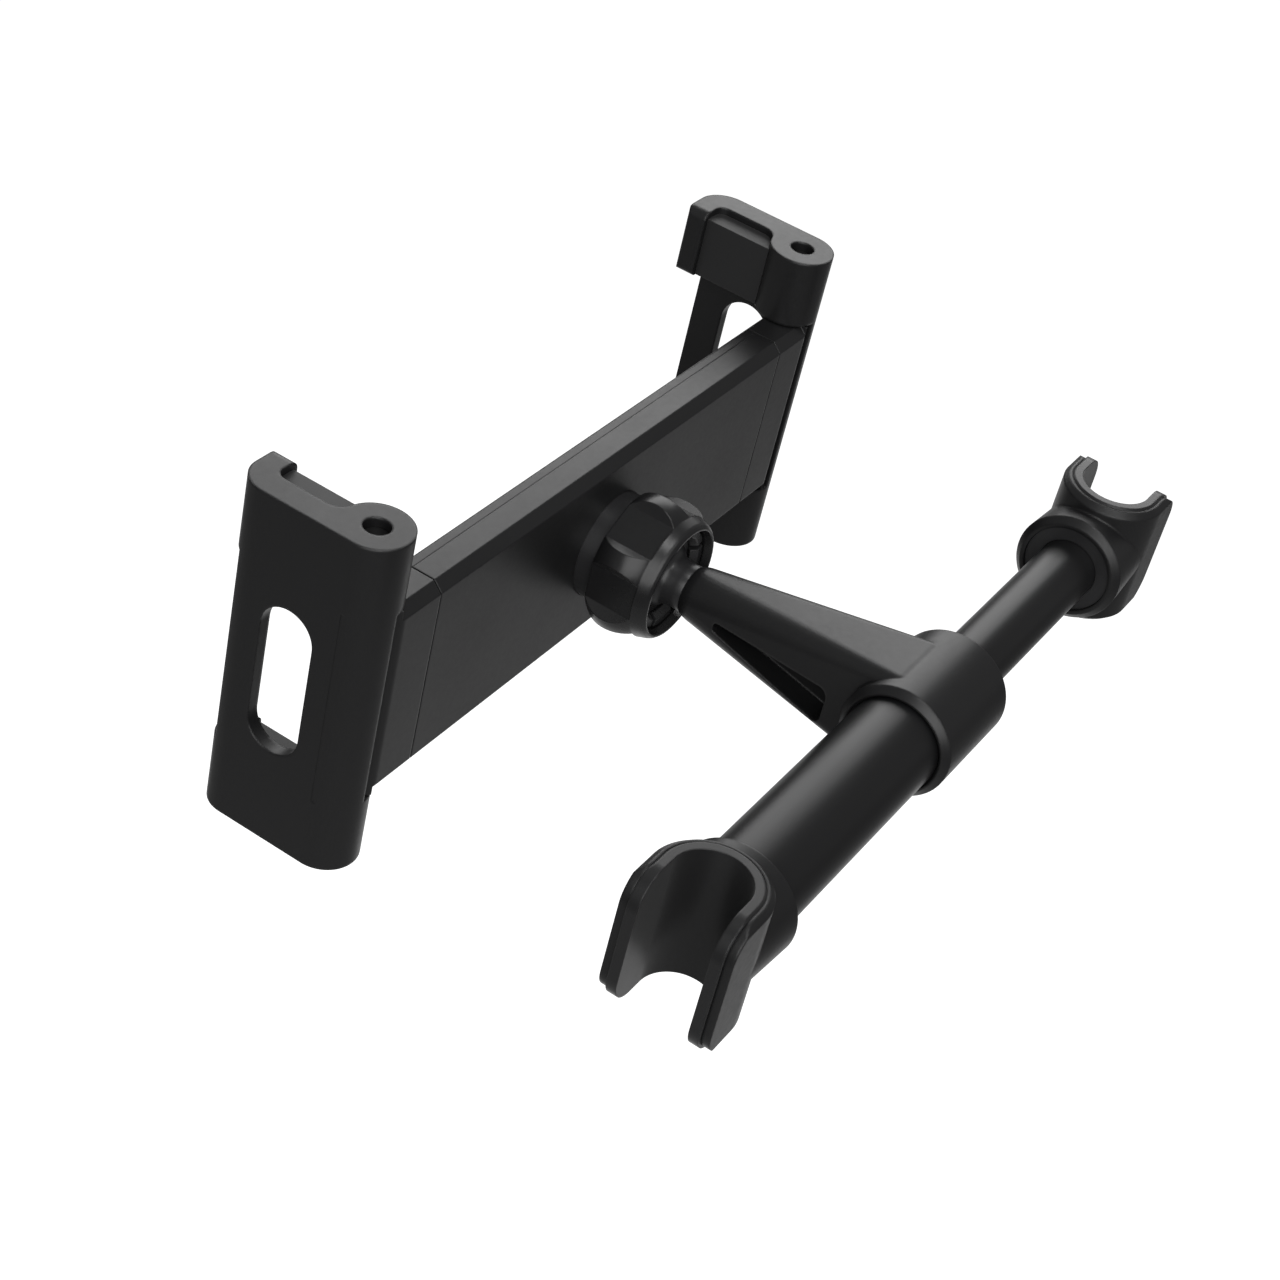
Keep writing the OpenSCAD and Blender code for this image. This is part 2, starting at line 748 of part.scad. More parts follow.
module pinion_axle() {
    color("#9a9da0")
    at_holder() y_bar(axle_r, axle_y + tip_gap, slide_y1 + tip_gap);
}

// Half the angle that an involute tooth fills at a radius
function tooth_half_angle(r) =
    let (base_r = pitch_r * cos(pressure_angle), a = acos(min(1, base_r / r)))
    90 / pinion_teeth - tooth_slack / (2 * pitch_r) * 180 / PI
    + (tan(pressure_angle) - tan(a)) * 180 / PI - (pressure_angle - a);

module pinion_outline() {
    base_r = pitch_r * cos(pressure_angle);
    tip_r = pitch_r + 0.85 * gear_module;
    root_r = pitch_r - 1.25 * gear_module;
    radii = [root_r, base_r, (base_r + pitch_r) / 2, pitch_r, (pitch_r + tip_r) / 2, tip_r];
    function flank_point(i, r, side) =
        let (a = 360 * i / pinion_teeth + side * tooth_half_angle(max(r, base_r))) [r * cos(a), r * sin(a)];
    polygon([for (i = [0 : pinion_teeth - 1], side = [-1, 1], k = [0 : len(radii) - 1])
        flank_point(i, radii[side < 0 ? k : len(radii) - 1 - k], side)]);
}

module drive_pinion() {
    color("#c9c6bd")
    at_holder() difference() {
        translate([0, slide_y1, 0]) rotate([90, 0, 0])
            linear_extrude(slide_t) rotate(90 + 180 / pinion_teeth) pinion_outline();
        y_bar(axle_r + running_gap, slide_y0 - over, slide_y1 + over);
    }
}

// One tooth of the rack, pointing to z = 0, with its middle at x
module rack_tooth(x) {
    lean = tan(pressure_angle);
    half = rack_pitch / 4 - tooth_slack / 2;
    tip = half - (pitch_r - rack_tip_z) * lean;
    root = half + (rack_root_z - pitch_r) * lean;
    polygon([[x - tip, rack_tip_z], [x + tip, rack_tip_z], [x + root, rack_root_z + eps],
             [x - root, rack_root_z + eps]]);
}

// The plan of the sliding end's block, round its knuckle for the hinge pin
module end_block_plan() {
    in_x = body_half_l + side_gap;
    round_x = pin_x - block_neck - block_round_r;
    translate([in_x, -body_t]) square([round_x - in_x, body_t]);
    translate([round_x, -block_round_r]) circle(block_round_r);
    translate([round_x - eps, -pin_depth]) square([block_round_r + eps, pin_depth - block_round_r]);
    translate([round_x - eps, -body_t]) square([pin_x - round_x - over, body_t - pin_depth + eps]);
    translate([pin_x, -pin_depth]) circle(knuckle_r);
}

// A sliding end: the block that carries the jaw, and the tongue with its rack
module sliding_end() {
    teeth = floor((-rack_tip_x - rack_end) / rack_pitch) + 2;
    union() {
        intersection() {
            translate([0, 0, -body_half_h]) linear_extrude(2 * body_half_h) end_block_plan();
            union() {
                body_slab(body_half_l, pin_x, -body_t, 0, 0);
                block([pin_x - knuckle_back, -far, -body_half_h], [pin_x + far, 0, body_half_h]);
                block([pin_x - knuckle_front, -far, -body_half_h], [pin_x, -body_t + eps, body_half_h]);
            }
        }
        block([tongue_x, slide_y0, -cavity_half_h + slide_slack],
              [body_half_l + side_gap + eps, slide_y1, cavity_half_h - slide_slack]);
        translate([0, slide_y1, 0]) rotate([90, 0, 0]) linear_extrude(slide_t) {
            translate([rack_tip_x, rack_root_z]) square([tongue_x - rack_tip_x + eps, rack_bar_h]);
            for (i = [0 : teeth - 1]) rack_tooth(rack_pitch * (1 - i));
        }
        block([rack_tip_x, slide_y0, rack_top_z - eps],
              [rack_tip_x + tab_t, slide_y1, cavity_half_h - slide_slack]);
        intersection() {
            body_slab(rack_tip_x, rack_tip_x + tab_t, slide_y1 - eps, -back_wall - side_gap,
                      body_wall + side_gap);
            block([rack_tip_x - over, slide_y1 - over, tab_z],
                  [rack_tip_x + tab_t + over, 0, body_half_h]);
        }
    }
}

module bored_sliding_end() {
    difference() {
        sliding_end();
        translate([pin_x, -pin_depth, -jaw_half_h]) cylinder(r = pin_r + seat_gap, h = 2 * jaw_half_h);
    }
}

module left_slide() {
    color("#212123") at_holder() bored_sliding_end();
}

module right_slide() {
    color("#212123") at_holder() rotate([0, 180, 0]) bored_sliding_end();
}

module slide_spring() {
    start = rack_tip_x + tab_t + slide_wire_d / 2 + tip_gap;
    stop = spring_seat_x - slide_wire_d / 2 - tip_gap;
    translate([start, spring_y, spring_z])
        coil((slide_spring_d - slide_wire_d) / 2, slide_wire_d / 2, stop - start, slide_turns, 10, 5);
}

module left_slide_spring() {
    color("#8a8d90") at_holder() slide_spring();
}

module right_slide_spring() {
    color("#8a8d90") at_holder() rotate([0, 180, 0]) slide_spring();
}

module hinge_pin() {
    translate([pin_x, -pin_depth, -jaw_half_h + pin_sunk])
        cylinder(r = pin_r, h = 2 * (jaw_half_h - pin_sunk));
}

module left_hinge_pin() {
    color("#6e7073") at_holder() hinge_pin();
}

module right_hinge_pin() {
    color("#6e7073") at_holder() mirror([1, 0, 0]) hinge_pin();
}

// The space between the lip, the wall and the barrel, grown smaller by a gap
module jaw_pocket(gap) {
    r = inner_corner_r - gap;
    translate([-far, lip_in_y + gap]) square([far + wall_in_x - inner_corner_r, fillet_y - lip_in_y - gap]);
    translate([-far, lip_in_y + inner_corner_r])
        square([far + wall_in_x - gap, fillet_y - lip_in_y - inner_corner_r]);
    translate([wall_in_x - inner_corner_r, lip_in_y + inner_corner_r]) circle(r);
    translate([fillet_x, fillet_y]) circle(jaw_fillet_r - gap);
}

// The jaw's outline, filled, with the hinge pin at the origin
module jaw_outline() {
    corner_x = barrel_r - jaw_corner_r;
    corner_y = -jaw_depth + jaw_corner_r;
    circle(barrel_r);
    translate([0, corner_y]) square([barrel_r, -corner_y]);
    translate([corner_x, corner_y]) circle(jaw_corner_r);
    translate([-lip_reach + lip_round_r, -jaw_depth])
        square([lip_reach - lip_round_r + corner_x, jaw_corner_r]);
    translate([-lip_reach, -jaw_depth + lip_round_r]) square([lip_reach, lip_t - 2 * lip_round_r]);
    for (y = [-jaw_depth + lip_round_r, lip_in_y - lip_round_r])
        translate([-lip_reach + lip_round_r, y]) circle(lip_round_r);
    polygon([[0, 0], [0, corner_y], [fillet_x, fillet_y], [touch_x, touch_y]]);
}

// The plan of the jaw's upper and lower parts
module jaw_end_plan() {
    difference() {
        jaw_outline();
        jaw_pocket(0);
    }
}

// The plan of the jaw's middle: a thin web, and a skin round the knuckle
module jaw_middle_plan() {
    intersection() {
        jaw_outline();
        union() {
            translate([web_in_x, web_front_y]) square([web_wall + over, -web_front_y + eps]);
            difference() {
                translate([skin_edge_x, 0]) square([barrel_r, barrel_r]);
                circle(skin_in_r);
            }
        }
    }
}

// The slot through the jaw's web
module jaw_slot(x0, x1) {
    r = slot_w / 2;
    reach = slot_h / 2 - r;
    translate([0, -slot_depth, 0]) {
        block([x0, -r, -reach], [x1, r, reach]);
        for (sz = [-1, 1]) translate([0, 0, sz * reach]) x_bar(r, x0, x1);
    }
}

// What is left outside a round whose centre is the origin, on its +X and +Y side
module corner_waste(r) {
    difference() {
        square(r + over);
        circle(r);
    }
}

// Rounds off the lip's free corners, seen from the back
module lip_waste(r, z, turn) {
    translate([-lip_reach + r, lip_in_y + eps, z])
        rotate([90, 0, 0]) linear_extrude(lip_t + over) rotate(turn) corner_waste(r);
}

module jaw() {
    end_h = jaw_half_h - window_half_h;
    difference() {
        union() {
            for (z = [-jaw_half_h, window_half_h])
                translate([0, 0, z]) linear_extrude(end_h) jaw_end_plan();
            translate([0, 0, -window_half_h - eps])
                linear_extrude(2 * (window_half_h + eps)) jaw_middle_plan();
        }
        translate([0, 0, -jaw_half_h - over]) cylinder(r = pin_r + running_gap, h = 2 * (jaw_half_h + over));
        jaw_slot(0, barrel_r + over);
        for (side = [0, 1]) mirror([0, 0, side]) {
            lip_waste(lip_end_r, jaw_half_h - lip_end_r, 90);
            lip_waste(lip_foot_r, window_half_h + lip_foot_r, 180);
        }
    }
}

// A soft pad that fills the space between the lip and the barrel, above the body
module jaw_pad() {
    z0 = window_half_h + side_gap;
    translate([0, 0, z0]) linear_extrude(jaw_half_h - pad_sunk - z0)
        intersection() {
            difference() {
                union() {
                    jaw_pocket(seat_gap);
                    polygon([[-far, fillet_y - eps], [fillet_x, fillet_y - eps],
                             [touch_x, touch_y], [touch_x, 0], [-far, 0]]);
                }
                circle(barrel_r + seat_gap);
            }
            translate([-pad_reach, lip_in_y]) square([far, -lip_in_y - barrel_r / 2]);
        }
}

module left_at_pin() {
    at_holder() translate([pin_x, -pin_depth, 0]) children();
}

module right_at_pin() {
    at_holder() mirror([1, 0, 0]) translate([pin_x, -pin_depth, 0]) children();
}

module left_jaw() {
    color("#222224") left_at_pin() jaw();
}

module right_jaw() {
    color("#222224") right_at_pin() jaw();
}

module left_upper_pad() {
    color("#2f2f32") left_at_pin() jaw_pad();
}

module left_lower_pad() {
    color("#2f2f32") left_at_pin() mirror([0, 0, 1]) jaw_pad();
}

module right_upper_pad() {
    color("#2f2f32") right_at_pin() jaw_pad();
}

module right_lower_pad() {
    color("#2f2f32") right_at_pin() mirror([0, 0, 1]) jaw_pad();
}

arm();
ball_stud();
outer_tube();
guide_bush();
bar_spring();
left_hook();
left_hook_liner();
inner_tube();
inner_tube_plug();
right_hook();
right_hook_bush();
right_hook_liner();
friction_cup();
pressure_ring();
clamp_knob();
ball_socket();
socket_screws();
rear_shell();
front_cover();
front_sheet();
cover_screws();
pinion_axle();
drive_pinion();
left_slide();
left_slide_spring();
left_hinge_pin();
left_jaw();
left_upper_pad();
left_lower_pad();
right_slide();
right_slide_spring();
right_hinge_pin();
right_jaw();
right_upper_pad();
right_lower_pad();
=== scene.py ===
"""Looks of the headrest tablet mount: moulded black plastics, painted tubes and soft liners."""

import json
import math

import bmesh
import bpy
from mathutils import Matrix, Vector


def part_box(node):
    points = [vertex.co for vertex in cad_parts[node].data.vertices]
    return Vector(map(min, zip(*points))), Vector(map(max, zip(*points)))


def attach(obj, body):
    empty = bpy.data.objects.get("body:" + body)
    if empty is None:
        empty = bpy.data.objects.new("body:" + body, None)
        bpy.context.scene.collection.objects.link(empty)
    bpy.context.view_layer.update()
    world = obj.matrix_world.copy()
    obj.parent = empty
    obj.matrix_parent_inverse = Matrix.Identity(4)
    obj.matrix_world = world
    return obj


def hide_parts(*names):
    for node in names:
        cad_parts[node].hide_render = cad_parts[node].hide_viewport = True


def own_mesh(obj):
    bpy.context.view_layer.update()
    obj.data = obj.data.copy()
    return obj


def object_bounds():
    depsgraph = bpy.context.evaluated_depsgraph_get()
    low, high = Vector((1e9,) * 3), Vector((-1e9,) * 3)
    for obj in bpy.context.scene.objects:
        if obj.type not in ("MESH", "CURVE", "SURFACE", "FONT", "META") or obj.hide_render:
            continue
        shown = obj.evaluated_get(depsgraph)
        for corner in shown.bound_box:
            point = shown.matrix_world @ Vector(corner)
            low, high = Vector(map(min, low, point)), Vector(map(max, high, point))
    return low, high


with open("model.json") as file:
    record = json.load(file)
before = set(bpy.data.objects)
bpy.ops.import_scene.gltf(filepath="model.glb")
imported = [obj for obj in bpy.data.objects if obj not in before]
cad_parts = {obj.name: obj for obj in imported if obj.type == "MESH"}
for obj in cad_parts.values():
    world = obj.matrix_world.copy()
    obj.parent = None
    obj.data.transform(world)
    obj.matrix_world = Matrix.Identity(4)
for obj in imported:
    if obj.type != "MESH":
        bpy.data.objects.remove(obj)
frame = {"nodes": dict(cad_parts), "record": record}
CAD_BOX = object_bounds()
NODES = frame["nodes"]
MM = 0.001
WHITE = (1.0, 1.0, 1.0, 1.0)

# Camera, as fitted to the photograph: place, the point it looks at, lens and roll
CAMERA_AT = Vector((0.36141, 0.10306, 0.27963))
CAMERA_AIM = Vector((0.01305, -0.05255, -0.00635))
CAMERA_LENS_MM = 71.14
CAMERA_ROLL_DEG = 14.33
CAMERA_REACH = (0.01, 20.0)
SENSOR_MM = 36.0

# The lamps: name, place, size and power in watts. All look at one point near the mount's middle
LAMP_AIM = Vector((0.0, -0.04, 0.0))
LAMPS = [("back_softbox", (-1.37, -0.8, 0.8), (1.5, 1.1), 13.5),
         ("front_softbox", (1.3, 0.8, 0.85), (1.9, 1.5), 22.0),
         ("top_softbox", (0.1, 0.35, 1.7), (0.6, 0.6), 7.0)]
WORLD_LEVEL = 0.18

# The floor: how far below the mount's lowest point it lies, its side, its grey in the pool of floor that
# the camera looks at and far from it, and how much light lifts it to white for the camera
FLOOR_DROP = 1.2
FLOOR_SIDE = 40.0
FLOOR_PALE = 0.82
FLOOR_FAR = 0.5
FLOOR_LIFT = 0.86
# The pool: its middle, its two radii and, as shares of these, where it starts to fade and ends
POOL_AIM = Vector((-2.53, -1.13))
POOL_RADII = (2.19, 1.13)
POOL_FADE = (1.03, 1.3)
# How much of the white that the camera sees is left in mirror reflections of the floor and the world
GLOSSY_SHARE_OF_FLOOR = 0.5
GLOSSY_SHARE_OF_WORLD = 0.02

# The size of the moulded grain, and the middle stretch of a noise, where most of its values lie
GRAIN_MM = 0.35
NOISE_MIDDLE = (0.3, 0.7)
# The cosines between the rounded and the true normal at which an edge's wear and painted highlight start
# and are full
WEAR_AND_HIGHLIGHT_COSINES = (0.97, 0.75)

# The neck between the ball and the arm's tip, from the ball's middle: distance and radius, in mm
NECK_PROFILE = [(6.55, 5.42), (6.9, 5.14), (7.3, 5.0), (7.8, 4.9), (8.6, 4.82), (9.4, 4.78), (11.8, 4.78),
                (11.9, 4.7), (12.0, 4.5), (12.0, 0)]
BALL_STEPS = 40
BALL_SIDES = 96
# Each spring: its node, the body that carries it, the joint that presses it and where its seat is along X.
# The seats are in metres
SPRINGS = [("bar_spring", "bar", "bar_extension", 0.0565),
           ("left_slide_spring", "holder", "left_end_pull", 0.0116),
           ("right_slide_spring", "holder", "right_end_pull", -0.0116)]


def looking(place, aim):
    """The matrix of a camera or lamp that stands at one point and looks at another."""
    turn = (Vector(aim) - Vector(place)).to_track_quat("-Z", "Y").to_matrix().to_4x4()
    return Matrix.Translation(place) @ turn


def add_camera():
    """The photograph's view: looks at the aim point, then rolls about the line of sight."""
    data = bpy.data.cameras.new("camera")
    data.lens = CAMERA_LENS_MM
    data.sensor_width = SENSOR_MM
    data.sensor_fit = "HORIZONTAL"
    data.clip_start, data.clip_end = CAMERA_REACH
    camera = bpy.data.objects.new("camera", data)
    bpy.context.scene.collection.objects.link(camera)
    roll = Matrix.Rotation(math.radians(CAMERA_ROLL_DEG), 4, "Z")
    camera.matrix_world = looking(CAMERA_AT, CAMERA_AIM) @ roll
    bpy.context.scene.camera = camera


def add_lamp(name, place, size, power):
    data = bpy.data.lights.new(name, "AREA")
    data.shape = "RECTANGLE"
    data.size, data.size_y = size
    data.energy = power
    lamp = bpy.data.objects.new(name, data)
    bpy.context.scene.collection.objects.link(lamp)
    lamp.matrix_world = looking(place, LAMP_AIM)


def maths(tree, kind, *values, clamp=False):
    """A Math node, whose inputs are sockets or plain numbers."""
    made = tree.nodes.new("ShaderNodeMath")
    made.operation = kind
    made.use_clamp = clamp
    for socket, value in zip(made.inputs, values):
        if isinstance(value, float):
            socket.default_value = value
        else:
            tree.links.new(value, socket)
    return made.outputs[0]


def map_range(tree, value, source, target):
    """A Map Range node, from one pair of ends to another."""
    made = tree.nodes.new("ShaderNodeMapRange")
    made.inputs["From Min"].default_value, made.inputs["From Max"].default_value = source
    made.inputs["To Min"].default_value, made.inputs["To Max"].default_value = target
    tree.links.new(value, made.inputs["Value"])
    return made


def add_world():
    """Even light all round. Camera and transmission rays see it white, mirror rays a little lifted."""
    world = bpy.data.worlds.new("studio")
    bpy.context.scene.world = world
    world.use_nodes = True
    tree = world.node_tree
    path = tree.nodes.new("ShaderNodeLightPath").outputs
    seen = maths(tree, "MAXIMUM", path["Is Camera Ray"], path["Is Transmission Ray"])
    seen = maths(tree, "MULTIPLY_ADD", path["Is Glossy Ray"], GLOSSY_SHARE_OF_WORLD, seen, clamp=True)
    level = map_range(tree, seen, (0.0, 1.0), (WORLD_LEVEL, 1.0))
    background = tree.nodes["Background"]
    background.inputs["Color"].default_value = WHITE
    tree.links.new(level.outputs["Result"], background.inputs["Strength"])


def add_pool(tree):
    """1 on the oval of floor that the camera looks at, fading to 0 outside it."""
    where = tree.nodes.new("ShaderNodeTexCoord")
    oval = tree.nodes.new("ShaderNodeMapping")
    oval.vector_type = "TEXTURE"
    oval.inputs["Location"].default_value = (*POOL_AIM, 0.0)
    oval.inputs["Rotation"].default_value = (0.0, 0.0, math.atan2(POOL_AIM.y, POOL_AIM.x))
    oval.inputs["Scale"].default_value = (*POOL_RADII, 1.0)
    tree.links.new(where.outputs["Object"], oval.inputs["Vector"])
    reach = tree.nodes.new("ShaderNodeVectorMath")
    reach.operation = "LENGTH"
    tree.links.new(oval.outputs["Vector"], reach.inputs[0])
    pool = map_range(tree, reach.outputs["Value"], POOL_FADE, (1.0, 0.0))
    pool.interpolation_type = "SMOOTHSTEP"
    return pool.outputs["Result"]


def floor_material():
    """Pale paper in the pool. Camera rays see it lifted towards white everywhere, and mirror and
    transmission rays see part of that in the pool."""
    material = bpy.data.materials.new("floor_pale")
    material.use_nodes = True
    tree = material.node_tree
    tree.nodes.clear()
    pool = add_pool(tree)
    shade = tree.nodes.new("ShaderNodeMix")
    shade.data_type = "RGBA"
    shade.inputs["A"].default_value = (FLOOR_FAR, FLOOR_FAR, FLOOR_FAR, 1.0)
    shade.inputs["B"].default_value = (FLOOR_PALE, FLOOR_PALE, FLOOR_PALE, 1.0)
    tree.links.new(pool, shade.inputs["Factor"])
    paper = tree.nodes.new("ShaderNodeBsdfDiffuse")
    tree.links.new(shade.outputs["Result"], paper.inputs["Color"])
    path = tree.nodes.new("ShaderNodeLightPath").outputs
    shown = maths(tree, "MAXIMUM", path["Is Glossy Ray"], path["Is Transmission Ray"])
    shown = maths(tree, "MULTIPLY", maths(tree, "MULTIPLY", shown, pool), GLOSSY_SHARE_OF_FLOOR)
    shown = maths(tree, "MAXIMUM", shown, path["Is Camera Ray"])
    glow = tree.nodes.new("ShaderNodeEmission")
    glow.inputs["Color"].default_value = WHITE
    tree.links.new(maths(tree, "MULTIPLY", shown, FLOOR_LIFT), glow.inputs["Strength"])
    both = tree.nodes.new("ShaderNodeAddShader")
    tree.links.new(paper.outputs[0], both.inputs[0])
    tree.links.new(glow.outputs[0], both.inputs[1])
    out = tree.nodes.new("ShaderNodeOutputMaterial")
    tree.links.new(both.outputs[0], out.inputs["Surface"])
    return material


def add_floor():
    """A plain floor far below the mount. It is stage, not part of the mount."""
    low = CAD_BOX[0][2] - FLOOR_DROP
    bpy.ops.mesh.primitive_plane_add(size=FLOOR_SIDE, location=(0.0, 0.0, low))
    floor = bpy.context.object
    floor.name = "floor"
    floor.data.materials.append(floor_material())


def lighter(colour, share, lift):
    return tuple(c * share + lift for c in colour)


class Surface:
    """Builds one procedural material around a Principled shader."""

    def __init__(self, name):
        self.material = bpy.data.materials.new(name)
        self.material.use_nodes = True
        self.tree = self.material.node_tree
        self.shader = self.tree.nodes["Principled BSDF"]
        self.coords = self.tree.nodes.new("ShaderNodeTexCoord").outputs["Object"]

    def node(self, kind, **values):
        made = self.tree.nodes.new(kind)
        for key, value in values.items():
            setattr(made, key, value)
        return made

    def link(self, a, b):
        self.tree.links.new(a, b)

    def feed(self, value, name):
        """Links a value to the shader's socket of that name."""
        self.link(value, self.shader.inputs[name])

    def give(self, value, name):
        """Puts a plain value on the shader's socket of that name."""
        self.shader.inputs[name].default_value = value

    def noise(self, scale, detail=2.0, rough=0.5, stretch=None):
        """Noise in the piece's own space. Its scale is in cells to the metre."""
        coords = self.coords
        if stretch:
            mapping = self.node("ShaderNodeMapping")
            mapping.inputs["Scale"].default_value = stretch
            self.link(coords, mapping.inputs["Vector"])
            coords = mapping.outputs["Vector"]
        made = self.node("ShaderNodeTexNoise")
        made.inputs["Scale"].default_value = scale
        made.inputs["Detail"].default_value = detail
        made.inputs["Roughness"].default_value = rough
        self.link(coords, made.inputs["Vector"])
        return made.outputs["Fac"]

    def ramp(self, value, low, high, source=NOISE_MIDDLE):
        return map_range(self.tree, value, source, (low, high)).outputs["Result"]

    def combine(self, kind, a, b):
        return maths(self.tree, kind, a, b)

    def mix_colour(self, factor, a, b):
        made = self.node("ShaderNodeMix", data_type="RGBA")
        self.link(factor, made.inputs["Factor"])
        made.inputs["A"].default_value = (*a, 1.0)
        made.inputs["B"].default_value = (*b, 1.0)
        return made.outputs["Result"]

    def round_normal(self, radius_mm):
        made = self.node("ShaderNodeBevel", samples=6)
        made.inputs["Radius"].default_value = radius_mm * MM
        return made.outputs["Normal"]

    def edge_wear_and_highlight(self, radius_mm):
        """1 on convex and concave edges, 0 on open faces: how far the rounded normal leans away. It marks
        edges both for wear and for a painted highlight.
        """
        geometry = self.node("ShaderNodeNewGeometry")
        dot = self.node("ShaderNodeVectorMath", operation="DOT_PRODUCT")
        self.link(self.round_normal(radius_mm), dot.inputs[0])
        self.link(geometry.outputs["Normal"], dot.inputs[1])
        return self.ramp(dot.outputs["Value"], 0.0, 1.0, source=WEAR_AND_HIGHLIGHT_COSINES)

    def bump(self, height, strength, depth_mm, edge_mm):
        """Small relief on the rounded normal."""
        made = self.node("ShaderNodeBump")
        made.inputs["Strength"].default_value = strength
        made.inputs["Distance"].default_value = depth_mm * MM
        self.link(height, made.inputs["Height"])
        self.link(self.round_normal(edge_mm), made.inputs["Normal"])
        self.feed(made.outputs["Normal"], "Normal")


def moulded(name, colour, roughness, edge_mm, grain=0.12):
    """Satin moulded plastic: fine grain, cloudy gloss, and edges polished by handling and painted lighter,
    partly as wear and partly as painted highlight.
    """
    s = Surface(name)
    relief = s.noise(1.0 / (GRAIN_MM * MM), detail=3.0, rough=0.6)
    cloud = s.noise(28.0, detail=3.0, rough=0.55)
    speckle = s.ramp(s.noise(900.0), -0.02, 0.02)
    rub_and_highlight_patches = s.ramp(s.noise(160.0, detail=4.0, rough=0.6), 0.3, 1.0, source=(0.35, 0.7))
    wear_and_highlight = s.combine("MULTIPLY", s.edge_wear_and_highlight(1.6 * edge_mm), rub_and_highlight_patches)
    # Edges painted lighter in patches: partly wear, partly painted highlight
    s.feed(s.mix_colour(wear_and_highlight, colour, lighter(colour, 1.35, 0.004)), "Base Color")
    rough = s.combine("ADD", s.ramp(cloud, roughness - 0.035, roughness + 0.035), speckle)
    polish = s.ramp(wear_and_highlight, 0.0, 0.05, source=(0.0, 1.0))
    s.feed(s.combine("SUBTRACT", rough, polish), "Roughness")
    s.give(0.5, "Specular IOR Level")
    s.bump(relief, grain, 0.04, edge_mm)
    return s.material


def painted_tube(name, colour, roughness, edge_mm, gloss=0.5):
    """Satin paint on a drawn tube: a faint orange peel and fine marks along the bar."""
    s = Surface(name)
    peel = s.noise(1400.0)
    marks = s.noise(600.0, detail=3.0, rough=0.6, stretch=(0.03, 1.0, 1.0))
    cloud = s.noise(22.0)
    # Edges painted lighter: partly wear, partly painted highlight
    wear_and_highlight = s.edge_wear_and_highlight(1.5 * edge_mm)
    s.feed(s.mix_colour(wear_and_highlight, colour, lighter(colour, 1.5, 0.01)), "Base Color")
    scuffs = s.ramp(marks, -0.015, 0.02, source=(0.35, 0.75))
    s.feed(s.combine("ADD", s.ramp(cloud, roughness - 0.02, roughness + 0.03), scuffs), "Roughness")
    s.give(gloss, "Specular IOR Level")
    s.bump(s.combine("ADD", peel, marks), 0.08, 0.03, edge_mm)
    return s.material


def soft_plastic(name, colour, roughness, edge_mm):
    """Matte soft plastic: a denser grain and a little sheen."""
    s = Surface(name)
    grain = s.noise(2400.0, detail=3.0, rough=0.6)
    cloud = s.noise(40.0, detail=3.0, rough=0.6)
    # Edges painted lighter: partly wear, partly painted highlight
    wear_and_highlight = s.edge_wear_and_highlight(1.6 * edge_mm)
    s.feed(s.mix_colour(wear_and_highlight, colour, lighter(colour, 1.3, 0.003)), "Base Color")
    s.feed(s.ramp(cloud, roughness - 0.04, roughness + 0.05), "Roughness")
    s.give(0.5, "Specular IOR Level")
    s.give(0.08, "Sheen Weight")
    s.give(0.5, "Sheen Roughness")
    s.bump(grain, 0.15, 0.05, edge_mm)
    return s.material


def steel(name, colour, roughness, edge_mm, stretch=None):
    """Plated or drawn steel with fine marks along one direction."""
    s = Surface(name)
    marks = s.noise(900.0, detail=3.0, rough=0.6, stretch=stretch)
    s.feed(s.mix_colour(marks, colour, lighter(colour, 1.15, 0.0)), "Base Color")
    s.feed(s.ramp(marks, roughness - 0.05, roughness + 0.08), "Roughness")
    s.give(1.0, "Metallic")
    s.bump(marks, 0.1, 0.02, edge_mm)
    return s.material


def make_materials():
    """Each slot's finish: its kind, colour, roughness, edge radius in mm, and what it has of its own."""
    finishes = {
        "moulded_black": (moulded, (0.0105, 0.0105, 0.011), 0.38, 0.75, {}),
        "shell_black": (moulded, (0.0105, 0.0105, 0.011), 0.38, 0.4, {}),
        "knob_black": (moulded, (0.011, 0.011, 0.0115), 0.3, 0.35, {}),
        "socket_black": (moulded, (0.022, 0.022, 0.023), 0.3, 0.35, {}),
        # ball_black is lighter than the other blacks: partly a lighter plastic, partly painted light on
        # the ball and the neck's side
        "ball_black": (moulded, (0.024, 0.024, 0.025), 0.33, 0.2, {"grain": 0.04}),
        "tube_black": (painted_tube, (0.009, 0.009, 0.0095), 0.36, 0.25, {"gloss": 0.43}),
        "soft_black": (soft_plastic, (0.0115, 0.0115, 0.012), 0.34, 0.35, {}),
        "pad_black": (soft_plastic, (0.014, 0.014, 0.0145), 0.5, 0.3, {}),
        "cup_rubber": (soft_plastic, (0.02, 0.02, 0.021), 0.6, 0.1, {}),
        "inner_grey": (moulded, (0.02, 0.02, 0.021), 0.42, 0.15, {}),
        "gear_white": (moulded, (0.6, 0.58, 0.53), 0.4, 0.08, {}),
        "pin_black": (painted_tube, (0.01, 0.01, 0.01), 0.4, 0.2, {}),
        "spring_steel": (steel, (0.42, 0.43, 0.44), 0.3, 0.1, {"stretch": (0.1, 1.0, 1.0)}),
        "screw_steel": (steel, (0.5, 0.5, 0.51), 0.32, 0.1, {"stretch": (1.0, 0.1, 1.0)}),
    }
    return {name: kind(name, colour, roughness, edge_mm, **own)
            for name, (kind, colour, roughness, edge_mm, own) in finishes.items()}


def dress_nodes(materials):
    """Gives each CAD node the finish of its slot in the record."""
    slots = {entry["node"]: entry["material_slot"] for entry in frame["record"]["subparts"]}
    for name, node in NODES.items():
        node.data.materials.clear()
        node.data.materials.append(materials[slots[name]])


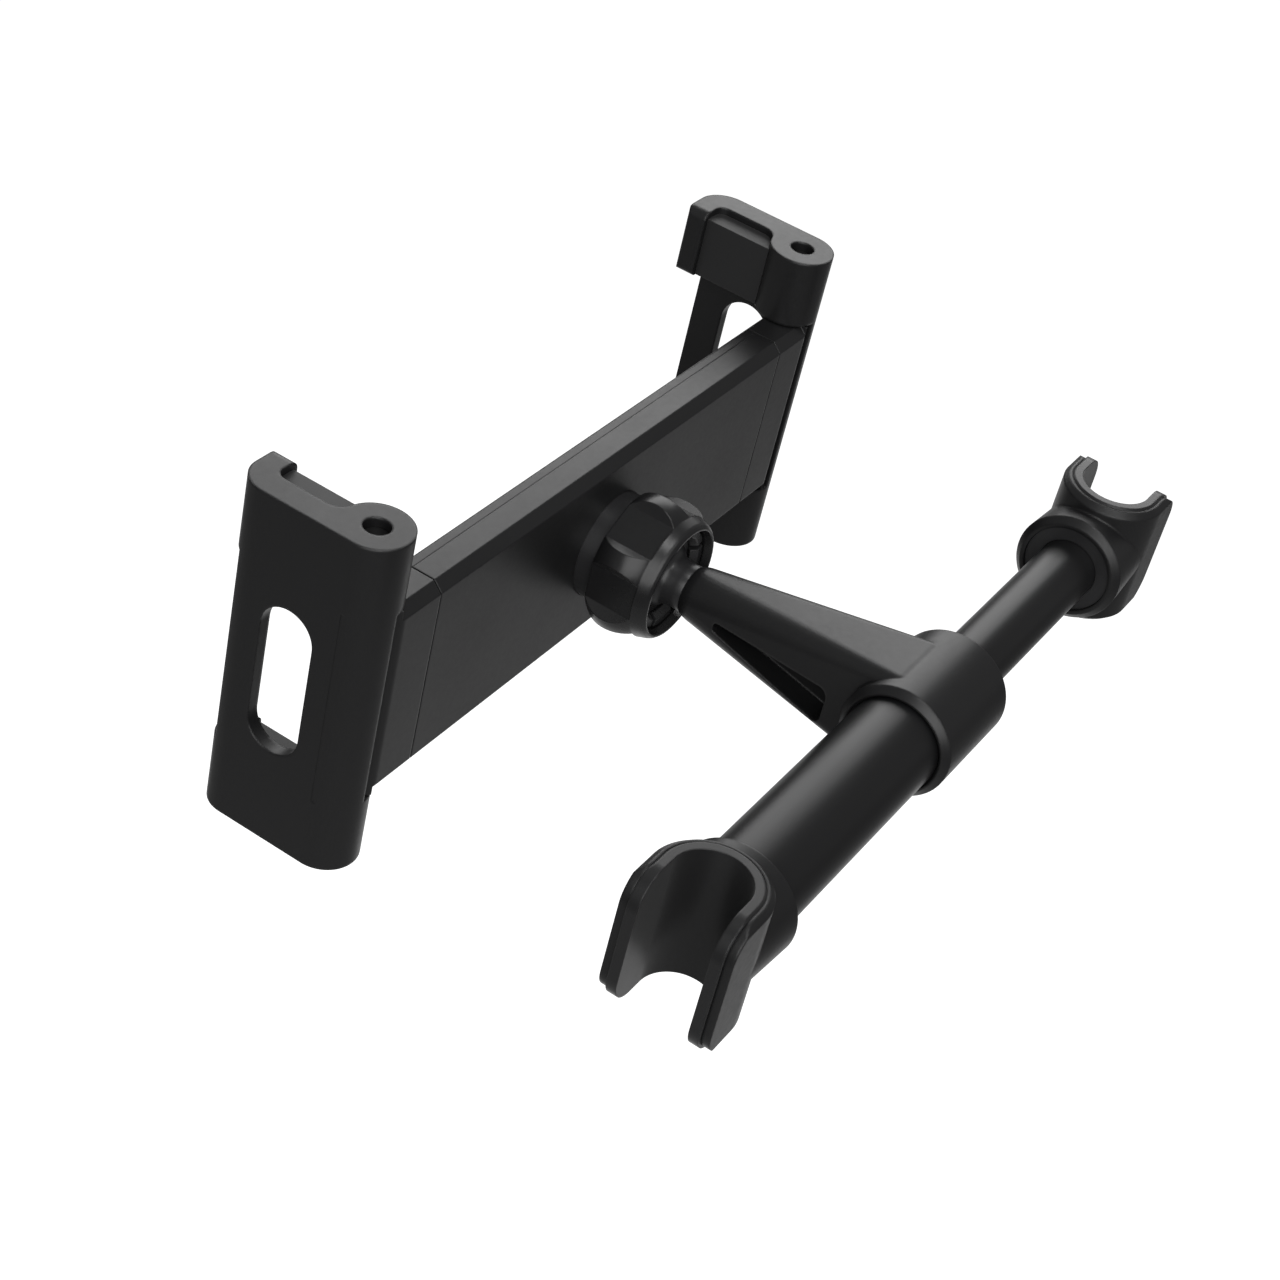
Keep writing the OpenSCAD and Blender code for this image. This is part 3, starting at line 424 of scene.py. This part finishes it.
def stand_for(name, node, body, mesh, slot, materials):
    """A piece that is shown in place of a CAD node, and rides on the same body."""
    mesh.materials.clear()
    mesh.materials.append(materials[slot])
    piece = bpy.data.objects.new(name, mesh)
    bpy.context.scene.collection.objects.link(piece)
    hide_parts(node)
    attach(piece, body)
    return piece


def turned_mesh(name, profile, centre, sides):
    """A solid turned about the Y axis from (distance along Y, radius) points, in mm."""
    mesh = bpy.data.meshes.new(name)
    form = bmesh.new()
    turns = [2 * math.pi * i / sides for i in range(sides)]
    rings = []
    for along, radius in profile:
        if radius == 0:
            rings.append([form.verts.new(centre + Vector((0.0, along * MM, 0.0)))] * sides)
            continue
        points = (Vector((radius * math.cos(turn), along, radius * math.sin(turn))) for turn in turns)
        rings.append([form.verts.new(centre + MM * point) for point in points])
    for a, b in zip(rings, rings[1:]):
        for i in range(sides):
            j = (i + 1) % sides
            corners = list(dict.fromkeys((a[i], b[i], b[j], a[j])))
            form.faces.new(corners).smooth = True
    bmesh.ops.recalc_face_normals(form, faces=form.faces)
    form.to_mesh(mesh)
    form.free()
    return mesh


def make_ball_stud(materials):
    """The ball, and the neck that flares from it into the tip of the arm."""
    low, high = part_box("ball_stud")
    radius = (high.x - low.x) / 2 / MM
    centre = Vector((0.0, low.y + radius * MM, 0.0))
    foot = math.acos(NECK_PROFILE[0][0] / radius)
    turns = [math.pi + (foot - math.pi) * i / BALL_STEPS for i in range(BALL_STEPS + 1)]
    ball = [(radius * math.cos(turn), radius * math.sin(turn) if i else 0) for i, turn in enumerate(turns)]
    mesh = turned_mesh("ball_stud_turned", ball + NECK_PROFILE[1:], centre, BALL_SIDES)
    # The neck takes the ball's lighter colour, which is partly painted light on its side
    stand_for("ball_stud_turned", "ball_stud", "bar", mesh, "ball_black", materials)


def make_springs(materials):
    """Each spring is shown by a copy of its CAD mesh, which rides on its body."""
    for node, body, joint, seat_x in SPRINGS:
        mesh = NODES[node].data.copy()
        piece = stand_for(node + "_coils", node, body, mesh, "spring_steel", materials)
        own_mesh(piece)


bpy.context.scene.view_settings.view_transform = "Standard"
add_camera()
add_world()
for lamp_row in LAMPS:
    add_lamp(*lamp_row)
add_floor()
finishes = make_materials()
dress_nodes(finishes)
make_ball_stud(finishes)
make_springs(finishes)
